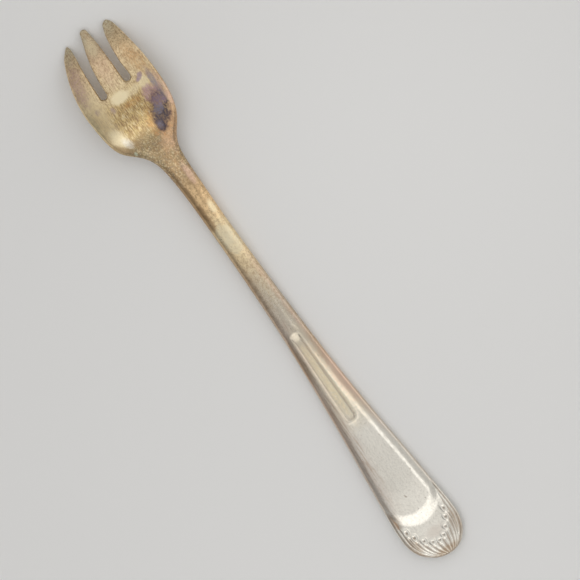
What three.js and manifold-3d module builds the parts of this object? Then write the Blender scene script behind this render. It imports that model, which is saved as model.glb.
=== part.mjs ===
// Three-tined seafood fork: a blank struck from one piece of yellow metal, with silver left on its handle.
// It lies tines down, with its back up. Millimetres: X runs from handle to tine tips, Y across, Z up.
import * as THREE from "three";
import { mergeVertices } from "three/addons/utils/BufferGeometryUtils.js";
import Module from "manifold-3d";

const wasm = await Module();
wasm.setup();

// Outline from above. Places on the handle count from its end, and setbacks from the middle tine's tip.
const LENGTH = 150;
const HANDLE_WIDTH = 15;
const HANDLE_END_LENGTH = 8.4;
const HANDLE_END_FULLNESS = 2.3;
const HANDLE_END_FLAT = 1.2;
const SHOULDER_AT = 19.6;
const SHOULDER_WIDTH = 13.35;
const WAIST_AT = 40.7;
const WAIST_WIDTH = 9.3;
const SHANK_AT = 61.8;
const SHANK_WIDTH = 6.45;
const STEM_SETBACK = 54.4;
const STEM_WIDTH = 4.95;
const NECK_SETBACK = 39;
const NECK_WIDTH = 5.75;
const FLARE_SETBACK = 31.7;
const FLARE_LENGTH = 7.4;
const BOWL_SETBACK = 18.5;
const BOWL_WIDTH = 20.3;
const HEEL_RADIUS = 56;
const FLANK_RADIUS = 42.5;

// Tines and the slots between them.
const SLOT_SETBACK = 16.1;
const SLOT_WIDTH = 1.93;
const MIDDLE_TINE_WIDTH = 5.25;
const MIDDLE_TINE_WAIST = 4.1;
const MIDDLE_TINE_WAIST_SETBACK = 5.2;
const MIDDLE_TIP_RADIUS = 0.95;
const OUTER_TIP_SETBACK = 1.2;
const OUTER_TIP_SPREAD = 5.95;
const OUTER_TIP_RADIUS = 1.05;
const SLOT_MOUTH_LENGTH = 3.4;

// Side profile: lift of the middle surface over the lowest part of the handle.
const END_LIFT = 0.5;
const BELLY_AT = 30;
const STEM_LIFT = 0.9;
const NECK_LIFT = 1.7;
const THROAT_SETBACK = 34;
const THROAT_LIFT = 3.1;
const HEEL_SETBACK = 27;
const HEEL_LIFT = 5.5;
const CREST_SETBACK = 19.5;
const CREST_LIFT = 6.1;
const TINE_SETBACK = 9;
const TINE_LIFT = 4.2;
const TIP_LIFT = -0.06;
const BOWL_DISH = 1.4;
const TIP_DISH = 1.1;

// Thickness: a rounded edge all round, and a rise of the back and of the front over it.
const EDGE_ROUND = 0.25;
const END_EDGE = 1.1;
const HANDLE_EDGE = 0.95;
const STEM_EDGE = 1.5;
const BOWL_EDGE = 0.85;
const TIP_EDGE = 0.65;
const HANDLE_BACK = 0.75;
const STEM_BACK = 0.8;
const BOWL_BACK = 0.4;
const TIP_BACK = 0.18;
const HANDLE_FRONT = 0.5;
const STEM_FRONT = 0.7;
const BOWL_FRONT = 0.35;
const TIP_FRONT = 0.15;

// Flat field of the handle, half its width, and the bevels beside it, which turn round along the stem.
const FIELD_HALF = 4.6;
const FIELD_WAIST_HALF = 2.15;
const FIELD_STEM_HALF = 0.7;
const BEVEL_POWER = 1.25;
const ROUND_POWER = 2;

// Struck border of the handle's end: the field stops at a swept bevel, then a sunk band, beads and flutes.
const FIELD_SWEEP = 8;
const FIELD_TOP_AT = 12.3;
const FIELD_FOOT_AT = 9.5;
const SUNK_SHARE = 0.3;
const BEAD_SWEEP = 18.8;
const BEAD_LINE_AT = 3.9;
const BEAD_RADIUS = 0.55;
const BEAD_LENGTH = 0.7;
const BEADS_EACH_SIDE = 4;
const FLUTE_ANGLE = 12.2;
const FLUTE_DEPTH = 0.32;
const FLUTES_EACH_SIDE = 5;
const RIM_WIDTH = 0.8;

// Sunk panel on the handle's back, wider towards the handle's end.
const PANEL_AT = 38.8;
const PANEL_LENGTH = 24.3;
const PANEL_WIDTH = 2.5;
const PANEL_STEM_WIDTH = 2;
const PANEL_DEPTH = 0.25;

// Silver film, from the handle's end to the line where it has worn through.
const PLATE_THICKNESS = 0.05;
const WEAR_LINE_AT = 73;
const CORE_LAP = 3;

// Fineness: rows along the fork, columns across the head, and parts of arcs and beads.
const END_ROWS = 6;
const BORDER_ROWS = 9;
const TAPER_ROWS = 6;
const STEM_ROWS = 6;
const BOWL_ROWS = 12;
const TINE_ROWS = 8;
const HEAD_COLUMNS = 14;
const ARC_PARTS = 10;
const BEAD_SIDES = 6;
const BEAD_RINGS = 4;

const BACK = 1;
const FRONT = -1;
const RIGHT_ANGLE = Math.PI / 2;
const { degToRad, lerp, smoothstep } = THREE.MathUtils;
const fluteAngle = degToRad(FLUTE_ANGLE);
const stemAt = LENGTH - STEM_SETBACK;
const neckAt = LENGTH - NECK_SETBACK;
const bowlAt = LENGTH - BOWL_SETBACK;

// Smooth curve through a few places, level at both ends.
function curve(places) {
  const at = places.map(([x]) => x);
  const value = places.map(([, y]) => y);
  const spline = new THREE.CubicInterpolant(at, value, 1, new Float64Array(1));
  spline.settings = { endingStart: THREE.ZeroSlopeEnding, endingEnd: THREE.ZeroSlopeEnding };
  return (x) => spline.evaluate(x)[0];
}

const shaftWidth = curve([
  [HANDLE_END_LENGTH, HANDLE_WIDTH],
  [SHOULDER_AT, SHOULDER_WIDTH],
  [WAIST_AT, WAIST_WIDTH],
  [SHANK_AT, SHANK_WIDTH],
  [stemAt, STEM_WIDTH],
]);
const lift = curve([
  [0, END_LIFT],
  [BELLY_AT, 0],
  [stemAt, STEM_LIFT],
  [neckAt, NECK_LIFT],
  [LENGTH - THROAT_SETBACK, THROAT_LIFT],
  [LENGTH - HEEL_SETBACK, HEEL_LIFT],
  [LENGTH - CREST_SETBACK, CREST_LIFT],
  [LENGTH - TINE_SETBACK, TINE_LIFT],
  [LENGTH, TIP_LIFT],
]);
const dish = curve([
  [neckAt, 0],
  [bowlAt, BOWL_DISH],
  [LENGTH, TIP_DISH],
]);
const edge = curve([
  [0, END_EDGE],
  [SHOULDER_AT, HANDLE_EDGE],
  [stemAt, STEM_EDGE],
  [neckAt, STEM_EDGE],
  [bowlAt, BOWL_EDGE],
  [LENGTH, TIP_EDGE],
]);
const backRise = curve([
  [WAIST_AT, HANDLE_BACK],
  [stemAt, STEM_BACK],
  [neckAt, STEM_BACK],
  [bowlAt, BOWL_BACK],
  [LENGTH, TIP_BACK],
]);
const frontRise = curve([
  [WAIST_AT, HANDLE_FRONT],
  [stemAt, STEM_FRONT],
  [neckAt, STEM_FRONT],
  [bowlAt, BOWL_FRONT],
  [LENGTH, TIP_FRONT],
]);
const fieldHalf = curve([
  [SHOULDER_AT, FIELD_HALF],
  [WAIST_AT, FIELD_WAIST_HALF],
  [SHANK_AT, FIELD_STEM_HALF],
]);
const crownPower = curve([
  [WAIST_AT, BEVEL_POWER],
  [stemAt, ROUND_POWER],
]);

// Half the fork's width: a full round end, the tapering handle and stem, a flare, and the bowl's bowed sides.
function halfWidth(x) {
  const short = Math.max(0, 1 - x / HANDLE_END_LENGTH);
  const round = (1 - short ** HANDLE_END_FULLNESS) ** (1 / HANDLE_END_FULLNESS);
  const toNeck = Math.max(0, (x - stemAt) / (neckAt - stemAt));
  const stem = lerp(shaftWidth(x), shaftWidth(x) + NECK_WIDTH - STEM_WIDTH, toNeck ** 2);
  const flare = 1 / (1 + Math.exp((4 * (LENGTH - FLARE_SETBACK - x)) / FLARE_LENGTH));
  const past = x - bowlAt;
  const bow = past ** 2 / (past > 0 ? FLANK_RADIUS : HEEL_RADIUS);
  return Math.max(HANDLE_END_FLAT, lerp(round * stem, BOWL_WIDTH - bow, flare)) / 2;
}

// Place of a border line that crosses the centre line at the given place and sweeps back at the sides.
function swept(at, sweep, angle) {
  return at + sweep * (1 - Math.cos(angle));
}

// Height of the back or the front. The angle goes across: its sine is the share of the half width.
function surface(side, x, angle) {
  const half = halfWidth(x);
  const across = Math.abs(Math.sin(angle)) * half;
  const flat = fieldHalf(x);
  const crown = across > flat ? 1 - ((across - flat) / (half - flat)) ** crownPower(x) : 1;
  const fieldFoot = swept(FIELD_FOOT_AT, FIELD_SWEEP, angle);
  const fieldTop = swept(FIELD_TOP_AT, FIELD_SWEEP, angle);
  const beadLine = swept(BEAD_LINE_AT, BEAD_SWEEP, angle);
  const raised = lerp(SUNK_SHARE, 1, smoothstep(x, fieldFoot, fieldTop));
  const inFlutes = 1 - smoothstep(x, beadLine - BEAD_RADIUS, beadLine + BEAD_RADIUS);
  const offRim = smoothstep(x, 0, 2 * RIM_WIDTH) * smoothstep(half - across, 0, RIM_WIDTH);
  const ridge = Math.cos((Math.PI * angle) / fluteAngle) ** 2 - 1 / 2;
  const rise = (side === BACK ? backRise : frontRise)(x);
  const off = edge(x) / 2 + rise * crown * raised + FLUTE_DEPTH * ridge * inFlutes * offRim;
  return lift(x) - dish(x) * Math.sin(angle) ** 2 + side * off;
}

// Closed solid of any geometry.
function solidOf(geometry) {
  const bare = new THREE.BufferGeometry();
  bare.setAttribute("position", geometry.getAttribute("position"));
  bare.setIndex(geometry.index);
  const merged = mergeVertices(bare);
  const vertProperties = merged.getAttribute("position").array;
  const triVerts = new Uint32Array(merged.index.array);
  return new wasm.Manifold(new wasm.Mesh({ numProp: 3, vertProperties, triVerts }));
}

// Section round the fork at one station, drawn in by the inset.
function section(station, angles, inset) {
  const x = station + inset * Math.max(0, 1 - station / HANDLE_END_LENGTH);
  const half = halfWidth(station) - inset;
  const reach = half - EDGE_ROUND;
  const points = (side) =>
    angles.map((angle) => [x, reach * Math.sin(angle), surface(side, station, angle) - side * inset]);
  const rim = (y) => [x, y, lift(station) - dish(station)];
  return [...points(BACK), rim(half), ...points(FRONT).reverse(), rim(-half)];
}

// Solid through a row of sections, closed by a fan at each end.
function loft(stations, angles, inset) {
  const sections = stations.map((station) => section(station, angles, inset));
  const count = sections[0].length;
  const points = sections.flat();
  const faces = [];
  const middle = (ring, axis) => ring.reduce((sum, point) => sum + point[axis], 0) / count;
  const [first, last] = [sections[0], sections.at(-1)].map(
    (ring) => points.push([ring[0][0], middle(ring, 1), middle(ring, 2)]) - 1,
  );
  const lastRow = (sections.length - 1) * count;
  for (let j = 0; j < count; j++) {
    const next = (j + 1) % count;
    faces.push(first, j, next);
    faces.push(last, lastRow + next, lastRow + j);
    for (let row = 0; row < lastRow; row += count) {
      faces.push(row + j, row + count + j, row + next);
      faces.push(row + next, row + count + j, row + count + next);
    }
  }
  const geometry = new THREE.BufferGeometry();
  geometry.setAttribute("position", new THREE.Float32BufferAttribute(points.flat(), 3));
  geometry.setIndex(faces);
  return solidOf(geometry);
}

// Even steps from one place to another, the last one left out.
function steps(from, to, count) {
  return Array.from({ length: count }, (_, i) => lerp(from, to, i / count));
}

// Upright block of a flat shape, standing on z = 0.
function upright(shape, height) {
  return new THREE.ExtrudeGeometry(shape, { depth: height, bevelEnabled: false, curveSegments: ARC_PARTS });
}

// Beads of the border, on the back and the front, as rounded drops along the flutes.
function beads(inset) {
  const drops = [];
  for (let k = -BEADS_EACH_SIDE; k <= BEADS_EACH_SIDE; k++) {
    const angle = k * fluteAngle;
    const x = swept(BEAD_LINE_AT, BEAD_SWEEP, angle);
    for (const side of [BACK, FRONT]) {
      const drop = new THREE.SphereGeometry(1, BEAD_SIDES, BEAD_RINGS);
      drop.scale(BEAD_LENGTH - inset, BEAD_RADIUS - inset, BEAD_RADIUS - inset);
      drop.translate(x, halfWidth(x) * Math.sin(angle), surface(side, x, angle));
      drops.push(solidOf(drop));
    }
  }
  return wasm.Manifold.union(drops);
}

// Room of the sunk panel: round ends joined by straight sides, over a floor that follows the handle's slope.
function panelRoom(inset) {
  const wide = PANEL_WIDTH / 2;
  const narrow = PANEL_STEM_WIDTH / 2;
  const start = surface(BACK, PANEL_AT, 0) - PANEL_DEPTH;
  const end = surface(BACK, PANEL_AT + PANEL_LENGTH, 0) - PANEL_DEPTH;
  const shape = new THREE.Shape();
  shape.absarc(wide, 0, wide + inset, RIGHT_ANGLE, 3 * RIGHT_ANGLE);
  shape.absarc(PANEL_LENGTH - narrow, 0, narrow + inset, -RIGHT_ANGLE, RIGHT_ANGLE);
  const block = upright(shape, STEM_BACK).rotateY(-Math.atan2(end - start, PANEL_LENGTH));
  return solidOf(block.translate(PANEL_AT, 0, start - inset));
}

// Handle from its end, drawn in by the inset, with its border and panel.
function handle(inset, tail) {
  const round = steps(0, RIGHT_ANGLE, END_ROWS).map((turn) => HANDLE_END_LENGTH * (1 - Math.cos(turn)));
  const border = steps(HANDLE_END_LENGTH, SHOULDER_AT, BORDER_ROWS);
  const taper = steps(SHOULDER_AT, WEAR_LINE_AT, TAPER_ROWS);
  const flutes = steps(-FLUTES_EACH_SIDE - 1 / 2, FLUTES_EACH_SIDE + 1 / 2, 4 * FLUTES_EACH_SIDE + 2);
  const angles = [-RIGHT_ANGLE, ...flutes.map((k) => k * fluteAngle)];
  angles.push((FLUTES_EACH_SIDE + 1 / 2) * fluteAngle, RIGHT_ANGLE);
  const shaft = loft([...round, ...border, ...taper, WEAR_LINE_AT, ...tail], angles, inset);
  return shaft.add(beads(inset)).subtract(panelRoom(inset));
}

// Room in front of the tines and between them, from the +Y outer tine round to the -Y one.
function tineRoom() {
  const tall = 2 * (CREST_LIFT + BOWL_DISH);
  const clear = BOWL_WIDTH;
  const slotHalf = SLOT_WIDTH / 2;
  const slotEnd = LENGTH - SLOT_SETBACK + slotHalf;
  const slotAcross = MIDDLE_TINE_WIDTH / 2 + slotHalf;
  const slotWall = slotAcross + slotHalf;
  const outerTip = LENGTH - OUTER_TIP_SETBACK - OUTER_TIP_RADIUS;
  const middleTip = LENGTH - MIDDLE_TIP_RADIUS;
  const outerTipWall = OUTER_TIP_SPREAD - OUTER_TIP_RADIUS;
  const mouth = outerTip - SLOT_MOUTH_LENGTH;
  const waist = LENGTH - MIDDLE_TINE_WAIST_SETBACK;
  const waistHalf = MIDDLE_TINE_WAIST / 2;
  const parallel = lerp(slotEnd, waist, 1 / 2);
  const shape = new THREE.Shape();
  shape.moveTo(LENGTH + clear, -clear);
  shape.lineTo(LENGTH + clear, clear);
  shape.lineTo(outerTip, clear);
  shape.absarc(outerTip, OUTER_TIP_SPREAD, OUTER_TIP_RADIUS, RIGHT_ANGLE, -RIGHT_ANGLE, true);
  shape.quadraticCurveTo(outerTip - OUTER_TIP_RADIUS, slotWall, mouth, slotWall);
  shape.absarc(slotEnd, slotAcross, slotHalf, RIGHT_ANGLE, 3 * RIGHT_ANGLE);
  shape.bezierCurveTo(parallel, slotAcross - slotHalf, waist, waistHalf, middleTip, MIDDLE_TIP_RADIUS);
  shape.absarc(middleTip, 0, MIDDLE_TIP_RADIUS, RIGHT_ANGLE, -RIGHT_ANGLE, true);
  shape.bezierCurveTo(waist, -waistHalf, parallel, slotHalf - slotAcross, slotEnd, slotHalf - slotAcross);
  shape.absarc(slotEnd, -slotAcross, slotHalf, RIGHT_ANGLE, 3 * RIGHT_ANGLE);
  shape.lineTo(mouth, -slotWall);
  shape.quadraticCurveTo(outerTip - OUTER_TIP_RADIUS, -slotWall, outerTip, -outerTipWall);
  shape.absarc(outerTip, -OUTER_TIP_SPREAD, OUTER_TIP_RADIUS, RIGHT_ANGLE, -RIGHT_ANGLE, true);
  shape.lineTo(outerTip, -clear);
  return solidOf(upright(shape, tall).translate(0, 0, -tall / 2));
}

// Stem, neck, bowl and tines, bare of silver.
function head() {
  const stem = steps(WEAR_LINE_AT, neckAt, STEM_ROWS);
  const bowl = steps(neckAt, bowlAt, BOWL_ROWS);
  const tines = steps(bowlAt, LENGTH, TINE_ROWS);
  const angles = steps(-RIGHT_ANGLE, RIGHT_ANGLE, HEAD_COLUMNS);
  return loft([...stem, ...bowl, ...tines, LENGTH], [...angles, RIGHT_ANGLE], 0).subtract(tineRoom());
}

// One named node from a solid.
function node(name, solid, color, roughness) {
  const made = solid.getMesh();
  const geometry = new THREE.BufferGeometry();
  geometry.setAttribute("position", new THREE.BufferAttribute(made.vertProperties, 3));
  geometry.setIndex(new THREE.BufferAttribute(made.triVerts, 1));
  const mesh = new THREE.Mesh(geometry, new THREE.MeshStandardMaterial({ color, roughness, metalness: 1 }));
  mesh.name = name;
  return mesh;
}

const core = handle(PLATE_THICKNESS, [WEAR_LINE_AT + CORE_LAP]);
const group = new THREE.Group();
group.name = "seafood_fork";
group.add(node("blank", core.add(head()), 0xb59a63, 0.35));
group.add(node("silver_plate", handle(0, []).subtract(core), 0xd8d5cc, 0.3));

// The fork rests on z = 0, with the origin under the middle of its length.
const bounds = new THREE.Box3().setFromObject(group);
for (const mesh of group.children) mesh.geometry.translate(-LENGTH / 2, 0, -bounds.min.z);

export default group;
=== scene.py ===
"""A worn, silver-plated seafood fork, tines down on a pale floor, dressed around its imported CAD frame."""

import logging
import math
from dataclasses import dataclass, field
from enum import Enum
from typing import Any

import bmesh
import bpy
import numpy as np
from mathutils import Matrix, Vector


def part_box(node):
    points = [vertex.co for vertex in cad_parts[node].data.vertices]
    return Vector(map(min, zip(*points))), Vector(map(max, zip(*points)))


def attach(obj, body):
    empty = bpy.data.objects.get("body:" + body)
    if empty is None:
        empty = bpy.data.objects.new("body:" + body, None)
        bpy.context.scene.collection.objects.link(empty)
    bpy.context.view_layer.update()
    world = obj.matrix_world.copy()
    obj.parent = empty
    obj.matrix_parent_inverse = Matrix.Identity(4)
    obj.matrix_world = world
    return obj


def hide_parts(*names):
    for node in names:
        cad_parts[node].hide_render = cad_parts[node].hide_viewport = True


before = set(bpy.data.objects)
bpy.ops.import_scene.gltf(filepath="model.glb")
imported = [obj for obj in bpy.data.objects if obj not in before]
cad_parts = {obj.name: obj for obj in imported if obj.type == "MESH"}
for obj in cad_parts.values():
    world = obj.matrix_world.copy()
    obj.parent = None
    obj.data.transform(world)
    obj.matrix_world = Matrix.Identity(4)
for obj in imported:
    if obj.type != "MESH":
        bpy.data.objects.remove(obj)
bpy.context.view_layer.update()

Array = np.ndarray
Band = tuple[float, float]
Triple = tuple[float, float, float]
Zone = tuple[float, float, float, float]

# A millimetre in metres, the least length to divide by in millimetres, and the welding distance in metres
MM = 0.001
TINY = 1e-6
WELD = 3e-7
SHARP_ANGLE = math.radians(50)
NOISE_MEAN = 0.5
# The Mix node's sockets for the colour below, the colour above and the mixed colour
MIX_BELOW, MIX_ABOVE, MIX_OUT = 6, 7, 2
MARKS = ("rim", "groove_and_shade", "back")
log = logging.getLogger("fork")


class Face(Enum):
    """Which broad face of the fork: the back is up."""

    BACK = 1
    FRONT = -1


class Tine(Enum):
    """The three tines, named as seen from the back with the tips ahead."""

    LEFT = 1
    MIDDLE = 0
    RIGHT = -1


def smooth(x: Array, low: Array | float, high: Array | float) -> Array:
    """Smooth step: 0 below low, 1 above high, and 3t^2 - 2t^3 between them."""
    t = np.clip((x - low) / (high - low), 0, 1)
    return t * t * (3 - 2 * t)


def bell(x: Array) -> Array:
    """Gaussian bell: e to the power of minus x squared."""
    return np.exp(-(x**2))


def eased(count: int) -> Array:
    """Shares from 0 to 1 that crowd at both ends: half of one less the cosine of an even turn."""
    return (1 - np.cos(np.linspace(0, math.pi, count))) / 2


def steps(count: int, start: float = 0, end: float = 1) -> Array:
    """Even steps from the start on, without the end itself."""
    return np.linspace(start, end, count, endpoint=False)


class Curve:
    """Cubic through a few places: inside, its slope is the mean of both chords, and its ends are level."""

    def __init__(self, *places: Band) -> None:
        """Works out the slopes at the places.

        Args:
            places: Pairs of place and value, in rising order of place.
        """
        self.at = np.array([place for place, _ in places])
        self.value = np.array([value for _, value in places])
        chord = np.diff(self.value) / np.diff(self.at)
        self.slope = np.concatenate([[0], (chord[:-1] + chord[1:]) / 2, [0]])

    def __call__(self, x: Array) -> Array:
        """Value at each place, held level beyond both ends.

        Args:
            x: Places along the fork.

        Returns:
            The cubic Hermite blend of the two nearest places.
        """
        x = np.clip(x, self.at[0], self.at[-1])
        i = np.clip(np.searchsorted(self.at, x, side="right") - 1, 0, len(self.at) - 2)
        h = self.at[i + 1] - self.at[i]
        t = (x - self.at[i]) / h
        value = (2 * t**3 - 3 * t**2 + 1) * self.value[i] + (3 * t**2 - 2 * t**3) * self.value[i + 1]
        return value + h * ((t**3 - 2 * t**2 + t) * self.slope[i] + (t**3 - t**2) * self.slope[i + 1])


@dataclass(frozen=True)
class Spots:
    """Points seen from above in millimetres: places along and across, and distances to the outline."""

    x: Array
    y: Array
    gap: Array


@dataclass(frozen=True)
class Form:
    """Outline, side profile and thickness of the fork in millimetres, along X from the handle's end."""

    length: float = 150
    end_length: float = 8.4
    end_fullness: float = 2.05
    shoulder_at: float = 19.6
    waist_at: float = 40.7
    handle_to: float = 61.8
    stem_at: float = 95.6
    neck_at: float = 111
    neck_swell: float = 0.8
    flare_at: float = 118.3
    flare_length: float = 7.4
    flare_slope: float = 4
    bowl_at: float = 131.5
    bowl_width: float = 20.3
    heel_radius: float = 56
    flank_radius: float = 42.5
    field_share: float = 0.9
    crown_power: float = 2
    shaft: Curve = Curve(
        (end_length, 15.0), (shoulder_at, 13.35), (waist_at, 9.3), (handle_to, 6.45), (stem_at, 4.95)
    )
    bend: Curve = Curve(
        (0, -0.6), (1.8, -0.33), (3.2, -0.2), (5.6, -0.03), (12, 0.12), (30, 0.08), (48, 0.0), (62, -0.16),
        (90, -0.22), (113, -0.15), (119, 0.12), (123, 0.12), (128, 0.04), (134, 0.12), (146, 0.06),
        (length, -0.04),
    )
    swell: Curve = Curve(
        (114, 0.0), (117.5, -0.02), (120.3, 0.3), (124, 0.06), (128, 0.02), (133, 0.12), (147, 0.0)
    )
    lift: Curve = Curve(
        (0, 0.5), (30, 0.0), (stem_at, 0.9), (neck_at, 1.7), (116, 3.1), (123, 5.5), (130.5, 6.1),
        (141, 4.2), (length, -0.06),
    )
    dish: Curve = Curve((neck_at, 0.0), (bowl_at, 1.4), (length, 1.1))
    edge: Curve = Curve(
        (0, 1.1), (shoulder_at, 0.95), (stem_at, 1.5), (neck_at, 1.5), (bowl_at, 0.85), (length, 0.65)
    )
    back_rise: Curve = Curve(
        (waist_at, 0.75), (stem_at, 0.8), (neck_at, 0.8), (bowl_at, 0.4), (length, 0.18)
    )
    front_rise: Curve = Curve(
        (waist_at, 0.5), (stem_at, 0.7), (neck_at, 0.7), (bowl_at, 0.35), (length, 0.15)
    )
    field_half: Curve = Curve(
        (10, 4.8), (shoulder_at, 4.2), (waist_at, 1.85), (handle_to, 0.45), (stem_at, 0.12)
    )
    edge_round: Curve = Curve(
        (0, 0.45), (40, 0.45), (stem_at, 0.75), (neck_at, 0.75), (120, 1.1), (127, 0.6), (133, 0.42),
        (length, 0.36),
    )

    def half(self, x: Array) -> Array:
        """Half the width: a superellipse end, a tapering shaft, and a logistic flare to a parabolic bowl.

        Args:
            x: Places along the fork.

        Returns:
            Half widths.
        """
        short = np.maximum(0, 1 - x / self.end_length)
        end = np.maximum(0, 1 - short**self.end_fullness) ** (1 / self.end_fullness)
        to_neck = np.maximum(0, (x - self.stem_at) / (self.neck_at - self.stem_at))
        shaft = end * (self.shaft(x) + self.neck_swell * to_neck**2)
        flare = 1 / (1 + np.exp(self.flare_slope * (self.flare_at - x) / self.flare_length))
        past = x - self.bowl_at
        bowl = self.bowl_width - past**2 / np.where(past > 0, self.flank_radius, self.heel_radius)
        return (shaft + (bowl - shaft) * flare) / 2

    def left(self, x: Array) -> Array:
        """Outer edge on +Y: the half width, bent and swollen as the used fork is."""
        return self.bend(x) + self.half(x) + self.swell(x)

    def right(self, x: Array) -> Array:
        """Outer edge on -Y: the half width, bent as the used fork is."""
        return self.bend(x) - self.half(x)

    def share(self, at: Spots) -> Array:
        """Place across the fork as a share of the half width, from -1 to 1."""
        return np.clip((at.y - self.bend(at.x)) / np.maximum(self.half(at.x), TINY), -1, 1)

    def skin(self, at: Spots, face: Face, raised: Array, relief: Array) -> Array:
        """Height of a face: the dished middle surface, then half the thickness outwards.

        Half the thickness is half the edge, plus the rise times a crown that falls off beyond the flat
        field, plus the relief. Near the outline it runs to nothing on a quarter round, so that back and
        front meet there.

        Args:
            at: The points.
            face: Back or front.
            raised: Share of the rise that stands, below 1 in the struck border.
            relief: Height of ornament over the plain face.

        Returns:
            Heights over the handle's lowest middle line.
        """
        half = self.half(at.x)
        share = self.share(at)
        flat = np.minimum(self.field_half(at.x), self.field_share * half)
        beyond = np.clip((np.abs(share) * half - flat) / np.maximum(half - flat, TINY), 0, 1)
        rise = self.back_rise(at.x) if face is Face.BACK else self.front_rise(at.x)
        thick = self.edge(at.x) / 2 + rise * (1 - beyond**self.crown_power) * raised + relief
        t = np.clip(at.gap / self.edge_round(at.x), 0, 1)
        return self.lift(at.x) - self.dish(at.x) * share**2 + face.value * thick * np.sqrt(1 - (1 - t) ** 2)


@dataclass(frozen=True)
class Border:
    """Struck border of the handle's end in millimetres: a swept bevel, a sunk band, beads and flutes."""

    form: Form
    field_sweep: float = 8
    field_foot: float = 9.0
    field_top: float = 12.8
    ease_top: float = 20.0
    ease_share: float = 0.35
    sunk_share: float = 0.3
    beads_each_side: int = 4
    bead_sweep: float = 18.3
    bead_line: float = 3.9
    bead_width: float = 0.7
    bead_length: float = 0.84
    bead_stretch: float = 0.03
    bead_height: float = 0.16
    bead_crest: float = 0.68
    bead_wall: float = 0.36
    bead_end: Band = (1.3, 1.6)
    bead_lean: float = 0.25
    bead_taper: float = 0.2
    bead_shade_middle: float = 0.4
    bead_clear: Band = (0.8, 1.2)
    flute_angle: float = math.radians(13.5)
    flute_crowd: float = math.radians(0.12)
    flute_width: float = 0.25
    flute_flare: float = 0.9
    flute_height: float = 0.22
    flute_low: float = 0.55
    flute_from: float = 0.6
    flute_fade: Band = (-0.1, 0.5)
    groove_depth: float = 0.11
    thread_width: float = 0.12
    thread_height: float = 0.07
    rim_fade: Band = (0.1, 0.45)
    side_span: Band = (math.radians(46), math.radians(54))
    side_line: float = 0.85
    crest_wear: float = 1.6
    thread_wear: float = 0.5
    bead_wear: float = 0.8

    def raised(self, at: Spots) -> Array:
        """Share of the handle's rise that stands: 1 on the field, then a swept bevel down to the sunk band.

        Args:
            at: The points.

        Returns:
            Shares from the sunk one to 1.
        """
        sweep = self.field_sweep * (1 - np.sqrt(1 - self.form.share(at) ** 2))
        bevel = smooth(at.x, self.field_foot + sweep, self.field_top + sweep)
        ease = smooth(at.x, self.field_foot + sweep, self.ease_top + sweep)
        step = bevel + self.ease_share * (ease - bevel)
        return self.sunk_share + (1 - self.sunk_share) * step

    def flute_at(self, number: Array) -> Array:
        """Angle of a flute counted from the middle one: even steps that close up by a cubic to the sides."""
        return self.flute_angle * number - self.flute_crowd * number**3

    def line(self, angle: Array) -> Array:
        """Place of the line of beads at an angle: it sweeps forward by one less the cosine."""
        return self.bead_line + self.bead_sweep * (1 - np.cos(angle))

    def beside(self, angle: Array, half: Array, numbers: Array) -> Array:
        """Distance across the end to the nearest of the flutes with the given numbers."""
        return np.abs((angle[..., None] - self.flute_at(numbers)) * half[..., None]).min(axis=-1)

    def flutes(self, at: Spots, angle: Array) -> tuple[Array, Array]:
        """Flutes as Gaussian ridges that widen towards their beads, and two thin threads between each two.

        One more ridge follows the rim at each side.

        Args:
            at: The points.
            angle: Angles whose sine is the share of the half width.

        Returns:
            Shares of the flutes' height and of the threads' height.
        """
        half = self.form.half(at.x)
        number = np.arange(-self.beads_each_side - 1, self.beads_each_side + 2)
        wide = self.flute_width * (1 + self.flute_flare * np.exp(-np.maximum(self.line(angle) - at.x, 0)))
        ridge = bell(self.beside(angle, half, number) / wide)
        side = smooth(np.abs(angle), *self.side_span) * bell((at.gap - self.side_line) / self.flute_width)
        thirds = np.concatenate([number[:-1] + 1 / 3, number[:-1] + 2 / 3])
        return np.maximum(ridge, side), bell(self.beside(angle, half, thirds) / self.thread_width)

    def beads(self, at: Spots) -> tuple[Array, Array]:
        """Beads as Gaussian rings on ellipses that are narrower, and higher, on the flutes' side.

        Args:
            at: The points.

        Returns:
            Shares of the rings' height, and distances from the nearest bead's middle as shares of its size.
        """
        number = np.arange(-self.beads_each_side, self.beads_each_side + 1)
        angle = self.flute_at(number)
        bead_x = self.line(angle)
        bead_y = self.form.bend(bead_x) + self.form.half(bead_x) * np.sin(angle)
        ahead = (at.x[..., None] - bead_x) / (self.bead_length + self.bead_stretch * number**2)
        wing = np.clip(ahead, -1, 1)
        out = np.hypot(ahead, (at.y[..., None] - bead_y) / (self.bead_width * (1 + self.bead_taper * wing)))
        ring = bell((out - self.bead_crest) / self.bead_wall) * (1 - smooth(out, *self.bead_end))
        return (ring * (1 - self.bead_lean * wing)).max(axis=-1), out.min(axis=-1)

    def relief(self, at: Spots) -> tuple[Array, Array]:
        """Height of the beads and flutes, and how deep each place lies in the grooves, with painted shade in
        the beads' middles.

        The flutes rise from the rim towards the line of beads and end there. Grooves lie between the crests
        of flutes and threads; the beads' middles are darkened like them, as painted shade.

        Args:
            at: The points.

        Returns:
            Heights in millimetres, and shares from 1 in the grooves and in the beads' painted-shade middles
            to -1 on a rubbed crest.
        """
        angle = np.arcsin(self.form.share(at))
        line = self.line(angle)
        ridge, thread = self.flutes(at, angle)
        ring, out = self.beads(at)
        fluted = smooth(line - at.x, *self.flute_fade) * smooth(at.gap, *self.rim_fade)
        taper = self.flute_low + (1 - self.flute_low) * smooth(at.x, self.flute_from, line)
        crest = self.flute_height * taper * ridge + self.thread_height * thread - self.groove_depth
        groove_and_shade = fluted * (1 - self.crest_wear * ridge) * (1 - self.thread_wear * thread)
        # The beads' middles are darkened as painted shade, through the same mark as the grooves
        groove_and_shade = groove_and_shade * smooth(out, *self.bead_clear) + bell(out / self.bead_shade_middle)
        height = np.maximum(fluted * crest, self.bead_height * ring)
        return height, np.clip(groove_and_shade - self.bead_wear * ring, -1, 1)


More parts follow.
